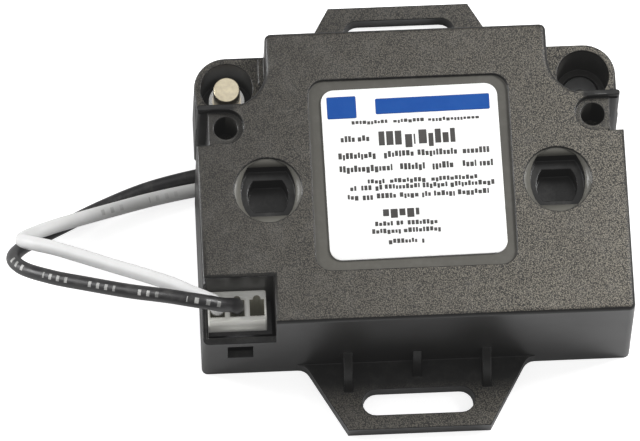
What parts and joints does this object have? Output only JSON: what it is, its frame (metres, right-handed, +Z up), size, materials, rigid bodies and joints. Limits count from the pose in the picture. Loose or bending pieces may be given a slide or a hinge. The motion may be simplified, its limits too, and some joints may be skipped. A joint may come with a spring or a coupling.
{
  "type": "gas burner igniter",
  "caption": "Spark ignition module for a gas burner: dark moulded case with slotted flanges, a high-voltage post in a corner well, a seated plug and looped insulated leads.",
  "frame": {"origin": "centre of the case's base, midway between the flange tips, on the plane that the unit is screwed down on", "axes": "+X to the right and +Y to the rear, seen from above with the plug at the front left; +Z up, out of the label"},
  "size_m": [0.1471, 0.1062, 0.041],
  "materials": {
    "case_plastic": "moulded, fine spark texture on top, smoother sides",
    "label_film": "printed film, satin",
    "post_nickel": "turned and plated",
    "natural_nylon": "natural moulded nylon",
    "blank_plastic": "moulded",
    "black_insulation": "extruded, soft sheen",
    "white_insulation": "extruded, soft sheen",
    "board_laminate": "solder resist on laminate",
    "potting_resin": "cast resin",
    "tinned_metal": "tin plated",
    "ferrite": "sintered",
    "winding_copper": "enamelled wire",
    "component_epoxy": "moulded epoxy",
    "fuse_glass": "clear tube",
    "sink_aluminium": "extruded",
    "film_blue": "dipped",
    "capacitor_sleeve": "shrunk sleeve",
    "resistor_body": "lacquered"
  },
  "bodies": {
    "root": {"black_lead": "black_insulation", "case": "case_plastic", "choke_core": "ferrite", "choke_winding": "winding_copper", "circuit_board": "board_laminate", "coil_cradle": "natural_nylon", "core_left": "ferrite", "core_right": "ferrite", "core_stand_left": "natural_nylon", "core_stand_right": "natural_nylon", "filter_capacitor": "capacitor_sleeve", "fuse_cap_left": "tinned_metal", "fuse_cap_right": "tinned_metal", "fuse_tube": "fuse_glass", "header_pin_1": "tinned_metal", "header_pin_2": "tinned_metal", "header_pin_3": "tinned_metal", "heat_sink": "sink_aluminium", "hv_conductor": "tinned_metal", "hv_post": "post_nickel", "label": "label_film", "lead_anchor": "component_epoxy", "pin_header": "component_epoxy", "plug_housing": "natural_nylon", "post_sleeve": "natural_nylon", "potting": "potting_resin", "primary_bobbin": "natural_nylon", "primary_winding": "winding_copper", "rectifier": "component_epoxy", "resistor_1": "resistor_body", "resistor_2": "resistor_body", "secondary_bobbin": "natural_nylon", "secondary_winding_1": "winding_copper", "secondary_winding_2": "winding_copper", "secondary_winding_3": "winding_copper", "secondary_winding_4": "winding_copper", "secondary_winding_5": "winding_copper", "secondary_winding_6": "winding_copper", "storage_capacitor": "film_blue", "terminal_1": "tinned_metal", "terminal_2": "tinned_metal", "transistor_body": "component_epoxy", "transistor_tab": "tinned_metal", "well_blank": "blank_plastic", "white_lead": "white_insulation"}
  },
  "joints": []
}
